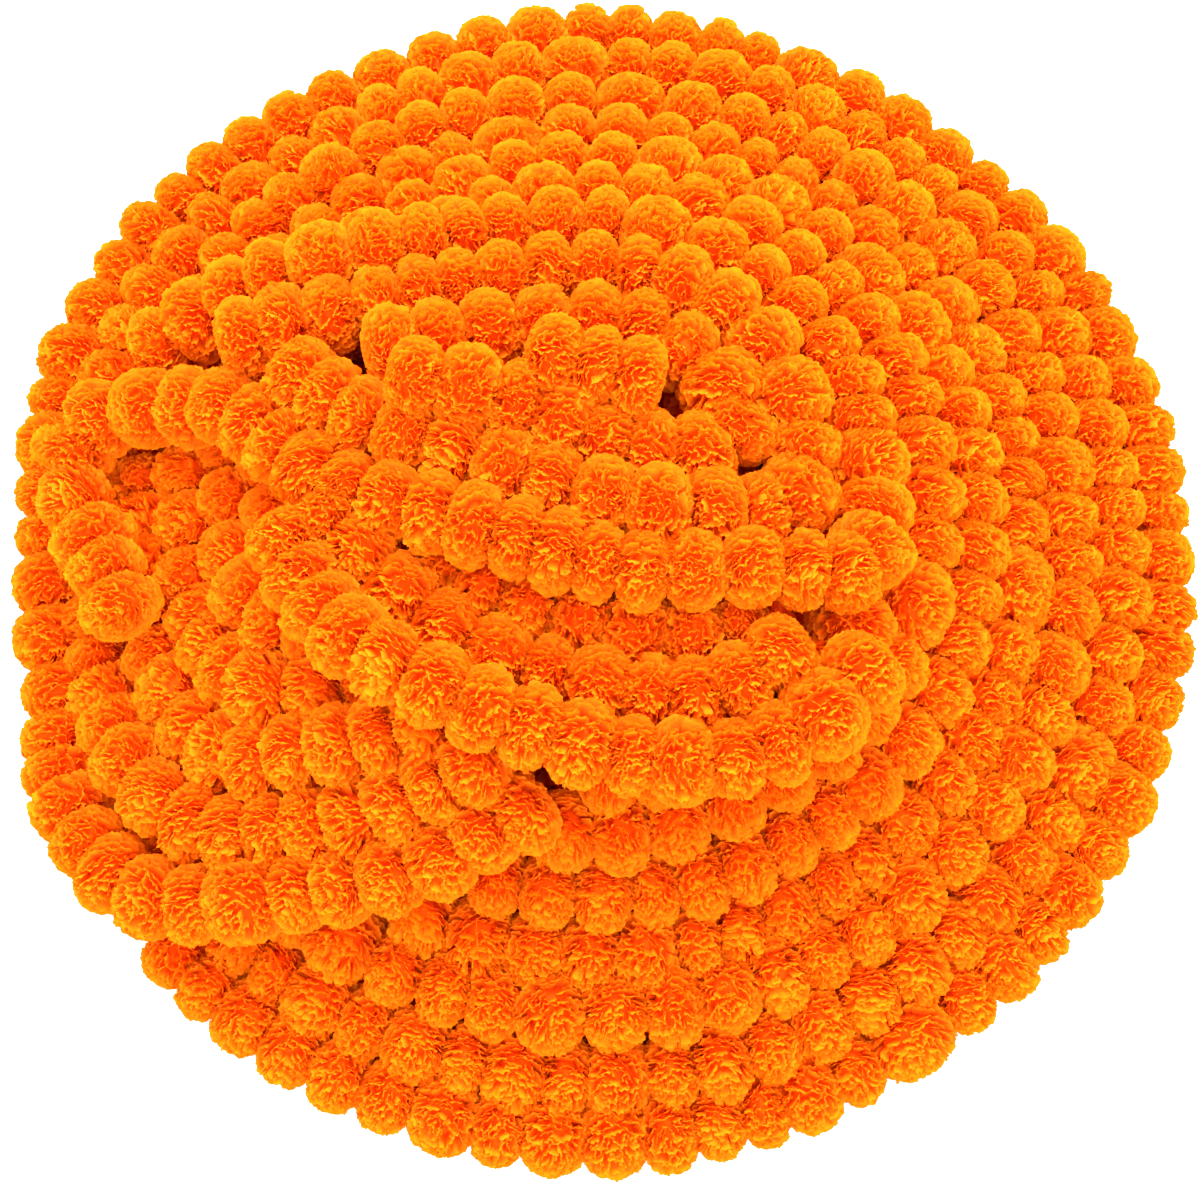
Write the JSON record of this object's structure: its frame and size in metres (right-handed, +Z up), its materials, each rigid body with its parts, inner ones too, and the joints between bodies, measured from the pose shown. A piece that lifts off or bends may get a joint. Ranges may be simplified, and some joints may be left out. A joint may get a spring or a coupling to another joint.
{
  "type": "marigold garland",
  "caption": "Heap of orange marigold garland: strung flower heads coiled into a low round dome, with folded turns lying on top.",
  "frame": {"origin": "centre of the heap's outline, on the surface it lies on", "axes": "+Z up, square to the surface; +X towards the right end as seen from the front; +Y towards the back, where the top folds lean"},
  "size_m": [0.8576, 0.8912, 0.2792],
  "materials": {
    "petals": null,
    "buried_petals": "the same petals deep inside the heap, darker orange; fabric stands for them"
  },
  "bodies": {
    "root": {"buried_turn_1": "buried_petals", "buried_turn_10": "buried_petals", "buried_turn_11": "buried_petals", "buried_turn_2": "buried_petals", "buried_turn_3": "buried_petals", "buried_turn_4": "buried_petals", "buried_turn_5": "buried_petals", "buried_turn_6": "buried_petals", "buried_turn_7": "buried_petals", "buried_turn_8": "buried_petals", "buried_turn_9": "buried_petals", "lower_fold_edge": "petals", "lower_fold_fifth": "petals", "lower_fold_fourth": "petals", "lower_fold_second": "petals", "lower_fold_third": "petals", "middle_fold_edge": "petals", "middle_fold_inner": "petals", "middle_fold_middle": "petals", "top_fold_centre": "petals", "top_fold_outer": "petals", "top_fold_second": "petals", "top_fold_third": "petals", "turn_1": "petals", "turn_2": "petals", "turn_3": "petals", "turn_4": "petals", "turn_5": "petals", "turn_6": "petals", "turn_7": "petals"}
  },
  "joints": []
}
